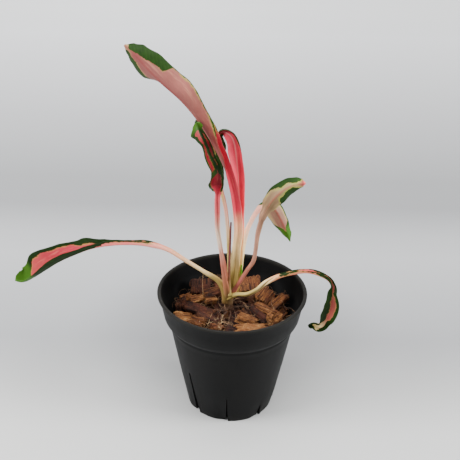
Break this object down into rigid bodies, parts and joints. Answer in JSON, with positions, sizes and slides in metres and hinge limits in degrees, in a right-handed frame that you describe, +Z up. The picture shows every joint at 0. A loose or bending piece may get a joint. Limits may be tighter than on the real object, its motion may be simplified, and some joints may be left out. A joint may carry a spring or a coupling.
{
  "type": "potted medusa chinese evergreen",
  "caption": "Chinese evergreen with folded, curling pink, red and green leaves on long petioles, in a thin black nursery pot of husk chips.",
  "frame": {"origin": "middle of the flat underside of the pot, on the surface that the pot stands on", "axes": "+Z up, the plant's front towards -Y, and the longest leaf reaches out towards -X"},
  "size_m": [0.2728, 0.125, 0.3194],
  "materials": {
    "pot_plastic": "satin black moulded plastic",
    "husk_chip": "rough fibrous coconut husk, red brown to tan",
    "cane_skin": "olive ringed stem with pale roots",
    "leaf_pink": "waxy leaf, crimson inside, dusty pink outside, green and cream tip",
    "leaf_red": "waxy leaf, crimson with dark green margins",
    "leaf_green": "waxy leaf, dark green margins and pink red inside",
    "leaf_cream": "waxy leaf, cream pink underside with green margins",
    "sheath_dry": "dry brown papery sheath",
    "sheath_young": "bright green waxy sheath"
  },
  "bodies": {
    "root": {"pot": "pot_plastic", "husk_bed": "husk_chip", "cane": "cane_skin", "leaf_tall": "leaf_pink", "leaf_arch": "leaf_red", "leaf_curl": "leaf_red", "leaf_slim": "leaf_green", "leaf_droop": "leaf_cream", "leaf_right": "leaf_cream", "leaf_left": "leaf_green", "leaf_low": "leaf_green", "dry_sheath": "sheath_dry", "young_sheath": "sheath_young"}
  },
  "joints": []
}
